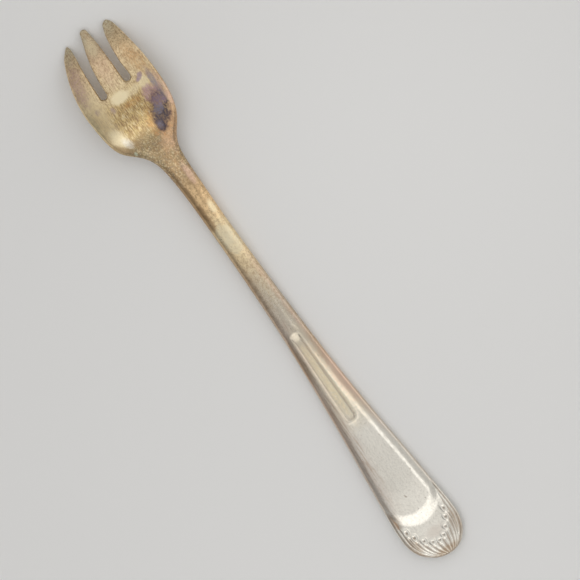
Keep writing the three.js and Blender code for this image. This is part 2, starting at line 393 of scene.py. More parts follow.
@dataclass(frozen=True)
class Panel:
    """Bare sunk panel on the handle's back: a tapering band with round ends, in millimetres."""

    form: Form
    at: float = 38.8
    across: float = 0.28
    length: float = 24.3
    half: float = 1.25
    stem_half: float = 1.0
    depth: float = 0.25
    wall: float = 0.45
    lip: float = 0.035
    ramp: float = 2.8
    grime: float = 0.3

    def distance(self, at: Spots) -> Array:
        """Distance outside the panel's outline: from its middle line, less a half width that tapers.

        Args:
            at: The points.

        Returns:
            Distances, negative inside.
        """
        start, end = self.at + self.half, self.at + self.length - self.stem_half
        t = np.clip((at.x - start) / (end - start), 0, 1)
        half = self.half + (self.stem_half - self.half) * t
        return np.hypot(at.x - np.clip(at.x, start, end), at.y - self.form.bend(at.x) - self.across) - half

    def relief(self, at: Spots) -> tuple[Array, Array]:
        """Height of the panel, a floor sunk behind a smooth wall with a faint lip, and the wall's grime.

        Towards the stem the floor runs out on a ramp, a parabola that is steepest at the panel's end.

        Args:
            at: The points.

        Returns:
            Heights in millimetres, and grime shares in the wall from 0 to 1.
        """
        out = self.distance(at)
        ramp = 1 - np.clip(1 - (self.at + self.length - at.x) / self.ramp, 0, 1) ** 2
        floor = self.depth * ramp * (1 - smooth(out, -self.wall / 2, self.wall / 2))
        lip = self.lip * bell((out - self.wall) / self.wall)
        return lip - floor, self.grime * ramp * bell(2 * out / self.wall + 1)


@dataclass(frozen=True)
class OuterTine:
    """One outer tine and the slot beside it in millimetres, as distances from the middle line."""

    slot_foot: float
    lean: float
    tip_radius: float
    tip_across: float
    tip_taper: float
    tip_power: float


@dataclass(frozen=True)
class Tines:
    """Tines and slots in millimetres, as distances from the middle line."""

    form: Form
    left: OuterTine = OuterTine(
        slot_foot=133.4, lean=0.0, tip_radius=0.5, tip_across=5.45, tip_taper=2.8, tip_power=0.75
    )
    right: OuterTine = OuterTine(
        slot_foot=133.9, lean=0.34, tip_radius=1.3, tip_across=5.95, tip_taper=1.6, tip_power=0.5
    )
    slot_radius: float = 0.965
    slot_across: float = 3.59
    lean_to: float = 139
    mouth_at: float = 144.35
    outer_tip: float = 148.8
    middle_tip: float = 150
    middle_tip_radius: float = 0.95
    middle_waist_at: float = 144.8
    middle_waist_half: float = 2.05
    curve_points: int = 200

    def outer(self, side: Tine) -> OuterTine:
        """Sizes of the outer tine on a side."""
        return self.left if side is Tine.LEFT else self.right

    def bezier(self, x: Array, *points: Band) -> Array:
        """Bezier curve of any order, read as a function of X.

        Args:
            x: Places along the fork.
            points: The curve's control points.

        Returns:
            The curve's second coordinate at each place.
        """
        t = np.linspace(0, 1, self.curve_points)[:, None]
        order = len(points) - 1
        terms = [math.comb(order, i) * t**i * (1 - t) ** (order - i) for i in range(order + 1)]
        curve = sum(term * np.array(point) for term, point in zip(terms, points))
        return np.interp(x, curve[:, 0], curve[:, 1])

    def arc(self, x: Array, centre: float, radius: float) -> Array:
        """Half chord of a circle at each place: the root of radius squared less offset squared."""
        return np.sqrt(np.maximum(0, radius**2 - (x - centre) ** 2))

    def split(self, x: Array, side: Tine) -> Array:
        """Line that becomes a slot: a fixed share of the half width, which meets the slot's foot."""
        return self.form.half(x) * self.slot_across / self.form.half(np.array(self.outer(side).slot_foot))

    def outer_wall(self, x: Array, side: Tine) -> Array:
        """Inner side of an outer tine: split line, slot's arc, leaning wall, a curve in, and the tip's arc.

        Args:
            x: Places along the fork.
            side: Left or right tine.

        Returns:
            Distances from the middle line.
        """
        one = self.outer(side)
        end, straight = one.slot_foot + self.slot_radius, self.slot_across + self.slot_radius
        wall = straight - one.lean * smooth(x, end, self.lean_to)
        tip, in_at = self.outer_tip - one.tip_radius, one.tip_across - one.tip_radius
        mouth = straight - one.lean
        curve = self.bezier(x, (self.mouth_at, mouth), (tip - one.tip_radius, mouth), (tip, in_at))
        return np.select(
            [x <= one.slot_foot, x <= end, x <= self.mouth_at, x <= tip],
            [self.split(x, side), self.slot_across + self.arc(x, end, self.slot_radius), wall, curve],
            one.tip_across - self.arc(x, tip, one.tip_radius),
        )

    def middle_wall(self, x: Array, side: Tine) -> Array:
        """Side of the middle tine: split line, slot's arc, a long curve to its tip, and the tip's arc.

        Args:
            x: Places along the fork.
            side: Which of its two sides.

        Returns:
            Distances from the middle line.
        """
        foot = self.outer(side).slot_foot
        end, wall = foot + self.slot_radius, self.slot_across - self.slot_radius
        tip = self.middle_tip - self.middle_tip_radius
        parallel = ((end + self.middle_waist_at) / 2, wall)
        waist = (self.middle_waist_at, self.middle_waist_half)
        curve = self.bezier(x, (end, wall), parallel, waist, (tip, self.middle_tip_radius))
        return np.select(
            [x <= foot, x <= end, x <= tip],
            [self.split(x, side), self.slot_across - self.arc(x, end, self.slot_radius), curve],
            self.arc(x, tip, self.middle_tip_radius),
        )

    def outer_edge(self, x: Array, side: Tine) -> Array:
        """Outer side of an outer tine: the fork's edge, drawn in to the tip by a power of 1 - t^2.

        Args:
            x: Places along the fork.
            side: Left or right tine.

        Returns:
            Places across the fork.
        """
        one = self.outer(side)
        edge = self.form.left(x) if side is Tine.LEFT else self.form.right(x)
        centre = self.form.bend(x) + side.value * one.tip_across
        t = np.clip((x - self.outer_tip) / one.tip_taper + 1, 0, 1)
        return centre + (edge - centre) * (1 - t**2) ** one.tip_power

    def sides(self, x: Array, tine: Tine) -> tuple[Array, Array]:
        """Both sides of a tine and of the strip of bowl, neck and stem behind it, from -Y to +Y.

        Args:
            x: Places along the fork.
            tine: Which tine.

        Returns:
            The lower and the higher side.
        """
        bend = self.form.bend(x)
        if tine is Tine.MIDDLE:
            return bend - self.middle_wall(x, Tine.RIGHT), bend + self.middle_wall(x, Tine.LEFT)
        inner = bend + tine.value * self.outer_wall(x, tine)
        outer = self.outer_edge(x, tine)
        return (inner, outer) if tine is Tine.LEFT else (outer, inner)

    def tip_of(self, tine: Tine) -> float:
        """Place of a tine's tip."""
        return self.middle_tip if tine is Tine.MIDDLE else self.outer_tip


@dataclass
class Outline:
    """The fork's outline from above as line segments, for distances to it, in millimetres."""

    tines: Tines
    end_to: float = 4
    end_points: int = 90
    border_from: float = 4.1
    border_to: float = 16
    border_step: float = 0.15
    shaft_to: float = 113
    shaft_step: float = 1
    bowl_from: float = 112
    bowl_step: float = 0.3
    tine_points: int = 150
    batch: int = 500

    def __post_init__(self) -> None:
        """Samples every side closely where it turns."""
        tines, form = self.tines, self.tines.form
        end = self.end_to * np.linspace(0, 1, self.end_points) ** 2
        border = np.arange(self.border_from, self.border_to, self.border_step)
        shaft = np.concatenate([end, border, np.arange(self.border_to, self.shaft_to, self.shaft_step)])
        bowl = np.arange(self.bowl_from, tines.outer_tip - tines.left.tip_taper, self.bowl_step)
        runs = [np.stack([shaft, edge(shaft)], 1) for edge in (form.left, form.right)]
        for tine in Tine:
            for side, low_or_high in ((Tine.RIGHT, 0), (Tine.LEFT, 1)):
                foot = tines.outer(side if tine is Tine.MIDDLE else tine).slot_foot
                x = foot + (tines.tip_of(tine) - foot) * eased(self.tine_points)
                x = np.unique(np.concatenate([bowl, x])) if tine is side else x
                runs.append(np.stack([x, tines.sides(x, tine)[low_or_high]], 1))
        self.start = np.concatenate([run[:-1] for run in runs])
        self.span = np.concatenate([np.diff(run, axis=0) for run in runs])

    def gap(self, x: Array, y: Array) -> Array:
        """Distance of each point to the nearest segment, worked out in batches to spare memory.

        Args:
            x: Places along the fork.
            y: Places across it.

        Returns:
            Distances, in the shape of the points.
        """
        points = np.stack([x.ravel(), y.ravel()], 1)
        squared = np.maximum((self.span**2).sum(1), TINY**2)
        parts = []
        for part in np.array_split(points, max(1, len(points) // self.batch)):
            along = part @ self.span.T - (self.start * self.span).sum(1)
            off = (part**2).sum(1)[:, None] - 2 * part @ self.start.T + (self.start**2).sum(1)
            t = np.clip(along / squared, 0, 1)
            parts.append((off - t * (2 * along - t * squared)).min(1))
        return np.sqrt(np.maximum(np.concatenate(parts), 0)).reshape(x.shape)


@dataclass
class Sheet:
    """A grid of points with marks: how near the rim, how deep in the grooves and how much painted shade in
    the beads' middles, and on which face each lies.
    """

    points: Array
    rim: Array
    groove_and_shade: Array
    back: Array

    def parts(self) -> list[Array]:
        """The points and the marks."""
        return [self.points, *(getattr(self, mark) for mark in MARKS)]

    def cut(self, columns: slice) -> "Sheet":
        """The same rows with some of the columns."""
        return Sheet(*(part[:, columns] for part in self.parts()))

    def joined(self, other: "Sheet", axis: int) -> "Sheet":
        """This grid with another one set after its last row or column."""
        return Sheet(*(np.concatenate(pair, axis) for pair in zip(self.parts(), other.parts())))

    def faces(self, start: int, closed: bool) -> Array:
        """Quads between neighbours of the grid.

        Args:
            start: Number of the grid's first point in the mesh.
            closed: Whether the last column joins the first.

        Returns:
            Four point numbers for each quad.
        """
        rows, columns = self.rim.shape
        number = start + np.arange(rows * columns).reshape(rows, columns)
        number = np.concatenate([number, number[:, :1]], 1) if closed else number
        corners = (number[:-1, :-1], number[1:, :-1], number[1:, 1:], number[:-1, 1:])
        return np.stack([corner.ravel() for corner in corners], 1)


def solid(name: str, sheets: list[Sheet], closed: bool) -> bpy.types.Object:
    """Mesh object of several grids, welded where they meet, with its marks as attributes.

    Args:
        name: Name of the piece.
        sheets: Grids in metres.
        closed: Whether each grid joins round.

    Returns:
        The object, at the origin.
    """
    starts = np.cumsum([0] + [sheet.rim.size for sheet in sheets[:-1]])
    points = np.concatenate([sheet.points.reshape(-1, 3) for sheet in sheets])
    quads = np.concatenate([sheet.faces(int(start), closed) for sheet, start in zip(sheets, starts)])
    mesh = bpy.data.meshes.new(name)
    mesh.vertices.add(len(points))
    mesh.vertices.foreach_set("co", points.astype(np.float32).ravel())
    mesh.loops.add(quads.size)
    mesh.loops.foreach_set("vertex_index", quads.astype(np.int32).ravel())
    mesh.polygons.add(len(quads))
    mesh.polygons.foreach_set("loop_start", np.arange(0, quads.size, quads.shape[1], dtype=np.int32))
    mesh.update(calc_edges=True)
    for mark in MARKS:
        values = np.concatenate([getattr(sheet, mark).ravel() for sheet in sheets])
        mesh.attributes.new(mark, "FLOAT", "POINT").data.foreach_set("value", values.astype(np.float32))
    welded = bmesh.new()
    welded.from_mesh(mesh)
    bmesh.ops.remove_doubles(welded, verts=welded.verts, dist=WELD)
    bmesh.ops.dissolve_degenerate(welded, edges=welded.edges, dist=WELD)
    bmesh.ops.recalc_face_normals(welded, faces=welded.faces)
    welded.to_mesh(mesh)
    welded.free()
    mesh.polygons.foreach_set("use_smooth", np.ones(len(mesh.polygons), dtype=bool))
    mesh.set_sharp_from_angle(angle=SHARP_ANGLE)
    made = bpy.data.objects.new(name, mesh)
    bpy.context.scene.collection.objects.link(made)
    return made


@dataclass
class Fork:
    """What both pieces share, in millimetres: form, ornament, place in the frame and covered rows."""

    form: Form = field(default_factory=Form)
    rim_fade: float = 0.7
    on_line: float = 0.02
    least_gap: float = 0.003
    cover: float = 0.05
    cover_fade: float = 0.3
    core_sunk: float = 1.6
    core_ease: Band = (12, 16)
    crest_span: Band = (120, 140)
    crest_points: int = 400
    wear_line: float = 73
    row_breaks: tuple[float, ...] = (2, 16, 38, 41, 61, 64)
    core_rows: tuple[int, ...] = (6, 12, 10, 9, 9, 9, 4)

    def __post_init__(self) -> None:
        """Makes ornament, tines and outline, and raises the fork to the CAD model's highest point."""
        self.border, self.panel, self.tines = Border(self.form), Panel(self.form), Tines(self.form)
        self.outline = Outline(self.tines)
        x = np.linspace(*self.crest_span, self.crest_points)
        middle = Spots(x, self.form.bend(x), self.form.half(x))
        crest = self.form.skin(middle, Face.BACK, np.ones_like(x), np.zeros_like(x))
        self.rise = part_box("blank")[1].z / MM - crest.max()

    def plated_rows(self, counts: tuple[int, ...]) -> Array:
        """Rows of the plated handle: crowded by a square at its end, then even steps from break to break.

        Args:
            counts: Number of rows before each break and before the wear line.

        Returns:
            Places along the fork, with the wear line as the last.
        """
        stops = (*self.row_breaks, self.wear_line)
        end = stops[0] * steps(counts[0]) ** 2
        rest = [steps(count, *span) for count, span in zip(counts[1:], zip(stops, stops[1:]))]
        return np.concatenate([end, *rest, [self.wear_line]])

    def spots(self, x: Array, y: Array, inset: float) -> Spots:
        """Points with distances to the drawn-in outline, which are 0 where a side or end row lies on it.

        Args:
            x: Places along the fork, a grid.
            y: Places across it, a grid.
            inset: How far the outline is drawn in.

        Returns:
            The points.
        """
        gap = np.maximum(self.outline.gap(x, y) - inset, 0)
        sides = np.zeros(x.shape, dtype=bool)
        sides[:, [0, -1]] = True
        sides[[0, -1]] |= (gap[[0, -1]] < self.on_line).all(axis=1, keepdims=True)
        return Spots(x, y, np.where(sides & (gap < self.on_line), 0, np.maximum(gap, self.least_gap)))

    def sheet(self, at: Spots, face: Face, inset: float) -> Sheet:
        """Grid over one face; a drawn-in face has its border smoothed away below the deepest grooves.

        Args:
            at: The points, a grid.
            face: Back or front.
            inset: How far the face is drawn in.

        Returns:
            The grid in metres.
        """
        relief, groove_and_shade = self.border.relief(at)
        if inset:
            relief = -self.core_sunk * self.border.groove_depth * (1 - smooth(at.x, *self.core_ease))
        if face is Face.BACK:
            sunk, grime = self.panel.relief(at)
            relief, groove_and_shade = relief + sunk, groove_and_shade + grime
        z = self.form.skin(at, face, self.border.raised(at), relief)
        z = z - face.value * inset * smooth(at.gap, 0, self.cover_fade)
        points = np.stack([at.x - self.form.length / 2, at.y, z + self.rise], -1) * MM
        back = np.full(at.x.shape, float(face is Face.BACK))
        return Sheet(points, np.exp(-at.gap / self.rim_fade), groove_and_shade, back)

    def both_faces(self, rows: Array, y: Array, inset: float) -> list[Sheet]:
        """Grids over back and front; drawn-in rows before the first break move away from the handle's end.

        Args:
            rows: Places of the rows.
            y: Places across the fork, a grid.
            inset: How far the faces are drawn in.

        Returns:
            The back grid and the front grid in metres.
        """
        ahead = inset * np.clip(1 - rows / self.row_breaks[0], 0, 1)
        x = np.repeat((rows + ahead)[:, None], y.shape[1], axis=1)
        at = self.spots(x, y, inset)
        return [self.sheet(at, face, inset) for face in Face]

    def dress(self, piece: bpy.types.Object, finish: bpy.types.Material, node: str, slot: str) -> None:
        """Gives a piece its finish and ties it to the frame.

        Args:
            piece: The piece.
            finish: Its material.
            node: CAD node that it stands for.
            slot: The record's material slot; not used.
        """
        piece.data.materials.append(finish)
        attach(piece, "root")
        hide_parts(node)
        log.info("%s: %d faces, stands for %s", piece.name, len(piece.data.polygons), node)


@dataclass
class SilverPlate(Fork):
    """Silver film on the handle: an outer skin with the border and panel, and an inner skin on the blank."""

    columns: int = 150
    film_rows: tuple[int, ...] = (30, 108, 27, 25, 22, 25, 10)

    def ring(self, rows: Array, inset: float) -> Sheet:
        """Closed rows round the handle: over the back from -Y to +Y and under the front back again.

        Args:
            rows: Places of the rows.
            inset: How far the skin is drawn in.

        Returns:
            The grid in metres.
        """
        across = np.sin(np.linspace(-math.pi / 2, math.pi / 2, self.columns))
        half = np.maximum(self.form.half(rows) - inset, 0)[:, None]
        over, under = self.both_faces(rows, self.form.bend(rows)[:, None] + half * across, inset)
        return over.joined(under.cut(slice(-2, 0, -1)), 1)

    def build(self) -> bpy.types.Object:
        """Outer rows from the handle's end to the wear line, then inner rows back again, as one closed tube.

        Returns:
            The film.
        """
        outer = self.ring(self.plated_rows(self.film_rows), 0.0)
        inner = self.ring(self.plated_rows(self.core_rows)[::-1], self.cover)
        return solid("silver_film", [outer.joined(inner, 0)], True)


@dataclass
class Blank(Fork):
    """Yellow metal blank: stem, neck, bowl and tines in the open, and the core under the silver film."""

    columns: int = 37
    stem_to: float = 110
    stem_rows: int = 42
    heel_to: float = 128
    heel_rows: int = 64
    foot_rows: int = 40
    foot_crowd: float = 1.3
    between_feet_rows: int = 16
    tine_rows: int = 92

    def strip(self, tine: Tine) -> list[Sheet]:
        """Grids of one tine and the strip behind it, back and front, with the covered core drawn in.

        Rows crowd by powers at both slots' feet, and by a cosine at the tip.

        Args:
            tine: Which tine.

        Returns:
            The back grid and the front grid in metres.
        """
        first, second = self.tines.left.slot_foot, self.tines.right.slot_foot
        stem = steps(self.stem_rows, self.wear_line, self.stem_to)
        heel = steps(self.heel_rows, self.stem_to, self.heel_to)
        to_first = first - (first - self.heel_to) * (1 - steps(self.foot_rows)) ** self.foot_crowd
        to_second = first + (second - first) * steps(self.between_feet_rows) ** 2
        to_tip = second + (self.tines.tip_of(tine) - second) * eased(self.tine_rows)
        core = self.rows(self.plated_rows(self.core_rows), tine, self.cover)
        bare = self.rows(np.concatenate([stem, heel, to_first, to_second, to_tip]), tine, 0.0)
        return [under.joined(over, 0) for under, over in zip(core, bare)]

    def rows(self, places: Array, tine: Tine, inset: float) -> list[Sheet]:
        """Rows of a strip at the given places, on both faces, with columns that crowd at both sides.

        Args:
            places: Places along the fork.
            tine: Which tine.
            inset: How far the rows are drawn in.

        Returns:
            The back grid and the front grid in metres.
        """
        low, high = (side[:, None] for side in self.tines.sides(places, tine))
        middle = self.form.bend(places)[:, None]
        shrink = 1 - inset / np.maximum(self.form.half(places)[:, None], inset)
        y = middle + (low + (high - low) * eased(self.columns) - middle) * shrink
        return self.both_faces(places, y, inset)

    def build(self) -> bpy.types.Object:
        """All strips, back and front, welded to one closed body.

        Returns:
            The blank.
        """
        return solid("metal_blank", [sheet for tine in Tine for sheet in self.strip(tine)], False)


class Sock:
    """An output socket of a shader tree; arithmetic on it adds Math nodes."""

    def __init__(self, tree: "Shader", socket: bpy.types.NodeSocket | None) -> None:
        """Keeps the tree and the socket."""
        self.tree = tree
        self.socket = socket

    def math(self, operation: str, *values: "Sock | float") -> "Sock":
        """Math node of the given operation."""
        return self.tree.node("ShaderNodeMath", {"operation": operation}, dict(enumerate(values)))

    def __add__(self, other: "Sock | float") -> "Sock":
        """Sum."""
        return self.math("ADD", self, other)

    def __sub__(self, other: "Sock | float") -> "Sock":
        """Difference."""
        return self.math("SUBTRACT", self, other)

    def __rsub__(self, other: float) -> "Sock":
        """Difference from a number."""
        return self.math("SUBTRACT", other, self)

    def __mul__(self, other: "Sock | float") -> "Sock":
        """Product."""
        return self.math("MULTIPLY", self, other)

    def __truediv__(self, other: "Sock | float") -> "Sock":
        """Quotient."""
        return self.math("DIVIDE", self, other)

    __radd__ = __add__
    __rmul__ = __mul__

    def above(self, other: "Sock | float") -> "Sock":
        """The larger of two values."""
        return self.math("MAXIMUM", self, other)

    def sway(self, size: float) -> "Sock":
        """How far a noise lies off its mean, times a size."""
        return (self - NOISE_MEAN) * size

    def lifted(self, base: float, gain: float) -> "Sock":
        """A base value plus this one times a gain."""
        return base + self * gain

    def step(self, low: float, high: float) -> "Sock":
        """Smooth step from 0 at low to 1 at high, falling where low is the larger."""
        inputs = {"Value": self, "From Min": low, "From Max": high}
        return self.tree.node("ShaderNodeMapRange", {"interpolation_type": "SMOOTHSTEP"}, inputs)


class Shader:
    """Node tree of one material, in millimetres from the handle's end, with noises that its layers share."""

    def __init__(self, name: str, length: float) -> None:
        """Starts a material, its coordinates, its noises and its marks.

        Args:
            name: Name of the material.
            length: Length of the fork in millimetres.
        """
        self.material = bpy.data.materials.new(name)
        self.material.use_nodes = True
        self.nodes = self.material.node_tree.nodes
        self.links = self.material.node_tree.links
        self.nodes.clear()
        place = self.node("ShaderNodeTexCoord", {}, {}, "Object")
        to_mm = {"Vector": place, "Location": (length / 2, 0, 0), "Scale": (1 / MM, 1 / MM, 1 / MM)}
        self.place = self.node("ShaderNodeMapping", {}, to_mm)
        self.x = self.node("ShaderNodeSeparateXYZ", {}, {"Vector": self.place}, "X")
        self.y = self.node("ShaderNodeSeparateXYZ", {}, {"Vector": self.place}, "Y")
        self.cloud = self.noise(grain=(0.16, 0.45, 0.45), detail=4.0, seed=0.0)
        self.warp = self.noise(grain=(0.55, 0.8, 0.8), detail=4.0, seed=31.0)
        self.grain = self.noise(grain=(1.3, 1.7, 1.7), detail=4.0, seed=7.0)
        self.streak = self.noise(grain=(0.2, 3.2, 3.2), detail=3.0, seed=13.0)
        self.hair = self.noise(grain=(0.7, 3.6, 3.6), detail=3.0, seed=3.0)
        self.speck = self.noise(grain=(2.2, 2.6, 2.6), detail=2.0, seed=43.0)
        self.rim, self.groove_and_shade, self.back = (self.mark(mark) for mark in MARKS)

    def node(
        self, kind: str, settings: dict[str, Any], inputs: dict[Any, Any], out: int | str | None = 0
    ) -> Sock:
        """Adds any node: its settings first, then its socket values and links.

        Args:
            kind: The node's type.
            settings: Its settings by name, with a ramp's stops as "stops".
            inputs: Values or sockets by the input's name or number.
            out: Name or number of the output that is wanted, or none for a node that has no output.

        Returns:
            That output.
        """
        made = self.nodes.new(kind)
        for name, value in settings.items():
            if name == "stops":
                self.set_stops(made.color_ramp.elements, value)
            else:
                setattr(made, name, value)
        for name, value in inputs.items():
            if isinstance(value, Sock):
                self.links.new(value.socket, made.inputs[name])
            else:
                made.inputs[name].default_value = value
        return Sock(self, None if out is None else made.outputs[out])

    @staticmethod
    def set_stops(elements: bpy.types.bpy_prop_collection, stops: list[tuple[float, "Tint"]]) -> None:
        """Sets a ramp's stops.

        Args:
            elements: The ramp's stops, two at first.
            stops: Place and tint of each stop.
        """
        elements.remove(elements[1])
        elements[0].position = stops[0][0]
        made = [elements[0]] + [elements.new(place) for place, _ in stops[1:]]
        for element, (_, tint) in zip(made, stops):
            element.color = (*tint.value, 1.0)

    def mark(self, name: str) -> Sock:
        """One of the piece's own marks."""
        return self.node("ShaderNodeAttribute", {"attribute_name": name}, {}, "Fac")

    def noise(self, grain: Triple, detail: float, seed: float) -> Sock:
        """Noise around its mean, between 0 and 1.

        Args:
            grain: Grains per millimetre along X, Y and Z.
            detail: Levels of finer noise.
            seed: Where in the noise the pattern is taken.

        Returns:
            The noise.
        """
        where = {"Vector": self.place, "Location": (seed, seed, seed), "Scale": grain}
        vector = self.node("ShaderNodeMapping", {}, where)
        return self.node("ShaderNodeTexNoise", {}, {"Vector": vector, "Scale": 1.0, "Detail": detail})

    def ramp(self, where: Sock, stops: list[tuple[float, "Tint"]]) -> Sock:
        """Colour that runs through the tints of the stops, by a place from 0 to 1."""
        return self.node("ShaderNodeValToRGB", {"stops": stops}, {"Fac": where})

    def zone(self, start: float, full: float, fade: float, end: float) -> Sock:
        """Stretch of the fork: 0 up to the start, 1 from full to fade, and 0 again from the end on."""
        return self.x.step(start, full) * self.x.step(end, fade)

    def mix(self, factor: Sock, colour: Sock, tint: "Tint") -> Sock:
        """Colour with a tint laid over it by a factor."""
        inputs = {0: factor, MIX_BELOW: colour, MIX_ABOVE: (*tint.value, 1.0)}
        return self.node("ShaderNodeMix", {"data_type": "RGBA"}, inputs, MIX_OUT)


class Tint(Enum):
    """Colours of the metals, their tarnish and grime, and of painted highlights and painted shade, as linear
    reflectance.
    """

    SILVER = (0.91, 0.87, 0.78)
    DULL_SILVER = (0.66, 0.61, 0.53)
    WARM_GREY = (0.66, 0.56, 0.48)
    WARM_SILVER = (0.91, 0.80, 0.61)
    GILT = (0.88, 0.74, 0.55)
    DULL_GILT = (0.61, 0.55, 0.44)
    PALE_GOLD = (0.68, 0.60, 0.45)
    SAND = (0.76, 0.63, 0.43)
    STRAW = (0.97, 0.79, 0.49)
    BRASS = (0.98, 0.70, 0.39)
    BRONZE = (0.50, 0.36, 0.20)
    OLIVE = (0.345, 0.28, 0.15)
    OCHRE = (0.78, 0.58, 0.27)
    BUFF = (0.90, 0.69, 0.42)
    PEWTER = (0.62, 0.56, 0.40)
    CREAM = (0.99, 0.84, 0.55)
    COPPER = (0.70, 0.44, 0.27)
    ROSE = (0.80, 0.55, 0.42)
    MAUVE = (0.56, 0.36, 0.36)
    VIOLET = (0.40, 0.29, 0.35)
    INDIGO = (0.072, 0.06, 0.074)
    UMBER = (0.40, 0.26, 0.14)
    RUST = (0.60, 0.28, 0.08)
    VERDIGRIS = (0.46, 0.48, 0.34)
    LICHEN = (0.66, 0.70, 0.52)
    BONE = (0.84, 0.74, 0.52)
    SLATE = (0.33, 0.30, 0.36)
    GRIME_AND_SHADE = (0.30, 0.23, 0.17)


@dataclass(frozen=True)
class Patch:
    """An oval stain, rubbed place, painted highlight or painted shade on the back with a ragged edge, placed
    from the handle's end.
    """

    x: float
    y: float
    long: float
    wide: float
    tint: Tint
    strength: float = 1.0
    turn: float = 0.0
    ragged: float = 0.5
    soft: float = 0.3
    mottle: float = 0.0
    warp_share: float = 0.6
    fray: float = 2.4
    thin_band: Band = (0.44, 0.6)
    through: float = 1e5

    def mask(self, tree: Shader) -> Sock:
        """Strength inside and 0 outside: the distance in the oval's own scale plus noise, stepped at 1.

        The oval runs through the whole thickness. A mottled patch is thinner where the fine specks are.

        Args:
            tree: The material's tree.

        Returns:
            The mask.
        """
        oval = {
            "Vector": tree.place,
            "Location": (self.x, self.y, 0),
            "Rotation": (0, 0, math.radians(self.turn)),
            "Scale": (self.long, self.wide, self.through),
        }
        inside = tree.node("ShaderNodeMapping", {"vector_type": "TEXTURE"}, oval)
        away = tree.node("ShaderNodeVectorMath", {"operation": "LENGTH"}, {0: inside}, "Value")
        noise = tree.warp * self.warp_share + tree.grain * (1 - self.warp_share)
        away = away + noise.sway(self.fray * self.ragged)
        mask = away.step(1 + self.soft, 1 - self.soft) * self.strength
        return mask * (1 - tree.speck.step(*self.thin_band) * self.mottle) if self.mottle else mask


@dataclass(frozen=True)
class SilverTarnishAndShade:
    """Dull clouds and dots of tarnish on the silver, and painted shade in warm grey on the field's left
    side, with brown smears in it.
    """

    cloud_share: float = 0.3
    streak_share: float = 0.2
    grain_share: float = 0.5
    dull_band: Band = (0.42, 0.66)
    dull_share: float = 0.35
    dot_band: Band = (0.5, 0.7)
    dot_share: float = 0.42
    shade_across: Band = (1.5, 5.6)
    shade_sway: float = 2.4
    shade_slant: float = 0.07
    shade_middle: float = 20
    shade_along: Band = (10, 24)
    shade_share: Band = (0.3, 0.8)
    smear_band: Band = (0.5, 0.68)
    smear_share: float = 0.5

    def lay(self, tree: Shader, colour: Sock, plated: Sock) -> Sock:
        """Lays the tarnish, and the painted shade on the left, over a colour where silver is left.

        Args:
            tree: The material's tree.
            colour: Colour below.
            plated: How much silver is left.

        Returns:
            The colour.
        """
        dull = tree.cloud * self.cloud_share + tree.streak * self.streak_share
        dull = (dull + tree.grain * self.grain_share).step(*self.dull_band) * plated
        colour = tree.mix(dull * self.dull_share, colour, Tint.DULL_SILVER)
        dots = tree.speck.step(*self.dot_band) * plated
        colour = tree.mix(dots * self.dot_share, colour, Tint.DULL_SILVER)
        # Painted shade: the field's left side is darkened in warm grey, standing in for shade; brown smears
        # lie in it
        across = tree.y + tree.warp.sway(self.shade_sway) + (tree.x - self.shade_middle) * self.shade_slant
        shade = across.step(*self.shade_across) * plated * tree.x.step(*self.shade_along)
        colour = tree.mix(shade * tree.streak.lifted(*self.shade_share), colour, Tint.WARM_GREY)
        smears = shade * tree.streak.step(*self.smear_band)
        return tree.mix(smears * self.smear_share, colour, Tint.UMBER)


@dataclass(frozen=True)
class SidesTarnishAndShade:
    """Sides: rosy tarnish on the bevels, brown rims of handle and bowl, and painted shade on the stem's left
    side.
    """

    rosy_rim: Band = (0.04, 0.4)
    bright_rim: Band = (0.55, 0.9)
    bright_share: float = 0.7
    rosy_zone: Zone = (28, 40, 78, 92)
    rosy_share: Band = (0.12, 0.5)
    brown_rim: Band = (0.25, 0.8)
    handle_from: Band = (13, 20)
    bowl_zone: Zone = (116, 120, 130, 137)
    brown_share: float = 0.32
    stem_zone: Zone = (60, 82, 108, 116)
    stem_across: Band = (-0.6, 2.3)
    stem_sway: float = 1.2
    stem_share: float = 0.5

    def lay(self, tree: Shader, colour: Sock, plated: Sock) -> Sock:
        """Lays the rosy and brown tarnish along the sides, and painted shade on the stem's left, over a
        colour.

        Args:
            tree: The material's tree.
            colour: Colour below.
            plated: How much silver is left.

        Returns:
            The colour.
        """
        rosy = tree.rim.step(*self.rosy_rim) * (1 - tree.rim.step(*self.bright_rim) * self.bright_share)
        rosy = rosy * tree.zone(*self.rosy_zone)
        colour = tree.mix(rosy * tree.streak.lifted(*self.rosy_share), colour, Tint.ROSE)
        where = tree.x.step(*self.handle_from) * plated + tree.zone(*self.bowl_zone)
        brown = tree.rim.step(*self.brown_rim) * where
        colour = tree.mix(brown * self.brown_share, colour, Tint.UMBER)
        # Painted shade: the stem's left side is darkened with umber, standing in for shade
        left = (tree.y + tree.warp.sway(self.stem_sway)).step(*self.stem_across)
        return tree.mix(tree.zone(*self.stem_zone) * left * self.stem_share, colour, Tint.UMBER)


@dataclass(frozen=True)
class Mottling:
    """Brown mottling and flecks of the bare metal, which are stronger on the neck."""

    neck_zone: Zone = (99, 107, 115, 122)
    grain_share: float = 0.6
    warp_share: float = 0.4
    mottle_band: Band = (0.62, 0.36)
    mottle_share: Band = (0.42, 0.35)
    fleck_band: Band = (0.52, 0.66)
    fleck_share: Band = (0.5, 0.35)

    def lay(self, tree: Shader, colour: Sock, plated: Sock) -> Sock:
        """Lays the mottling over a colour where the silver is gone.

        Args:
            tree: The material's tree.
            colour: Colour below.
            plated: How much silver is left.

        Returns:
            The colour.
        """
        neck = tree.zone(*self.neck_zone)
        mottle = tree.grain * self.grain_share + tree.warp * self.warp_share
        mottle = mottle.step(*self.mottle_band) * (1 - plated)
        colour = tree.mix(mottle * neck.lifted(*self.mottle_share), colour, Tint.UMBER)
        flecks = tree.speck.step(*self.fleck_band) * (1 - plated)
        return tree.mix(flecks * neck.lifted(*self.fleck_share), colour, Tint.UMBER)


